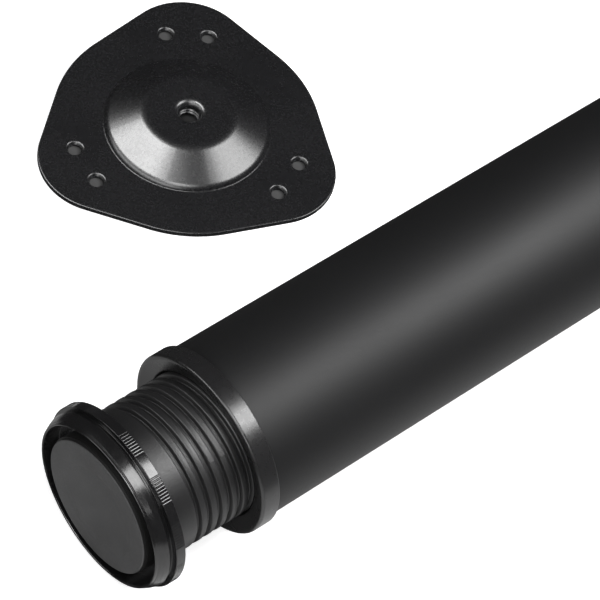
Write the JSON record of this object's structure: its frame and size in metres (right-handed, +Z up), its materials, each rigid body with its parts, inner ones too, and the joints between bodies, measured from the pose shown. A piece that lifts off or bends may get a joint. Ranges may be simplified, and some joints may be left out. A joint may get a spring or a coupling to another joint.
{
  "type": "height adjustable table leg",
  "caption": "Round tubular table leg with a threaded height adjusting foot, laid down beside its three-cornered mounting plate.",
  "frame": {"origin": "centre of the sole of the foot, on the leg's axis", "axes": "+X along the leg's axis from the sole to the top of the tube, +Z up with the leg lying on its side, +Y towards the mounting plate that lies beside it"},
  "size_m": [0.7363, 0.1978, 0.0628],
  "materials": {
    "tube_coat": "satin black powder coat",
    "collar_plastic": "semi-gloss black moulding",
    "foot_plastic": "semi-gloss black moulding",
    "carrier_plastic": "matte black moulding",
    "pad": "fine-grained dark grey",
    "plug_plastic": "matte black moulding",
    "bolt_steel": "zinc plated",
    "plate_coat": "satin-gloss black coat"
  },
  "bodies": {
    "leg": {"tube": "tube_coat", "threaded_collar": "collar_plastic", "top_plug": "plug_plastic", "plate_bolt": "bolt_steel", "mounting_plate": "plate_coat"},
    "glide": {"glide_carrier": "carrier_plastic", "glide_pad": "pad"},
    "foot": {"adjuster_foot": "foot_plastic"}
  },
  "joints": [
    {"name": "foot_travel", "type": "slide", "parent": "leg", "child": "glide", "axis": [1, 0, 0], "range_m": [-0.00281, 0.02921]},
    {"name": "foot_turn", "type": "hinge", "parent": "glide", "child": "foot", "pos_m": [0, 0, 0], "axis": [1, 0, 0], "range_deg": [-252, 2628]}
  ],
  "couplings": [
    {"joint": "foot_travel", "follows": "foot_turn", "m_per_rad": 0.00063662}
  ]
}
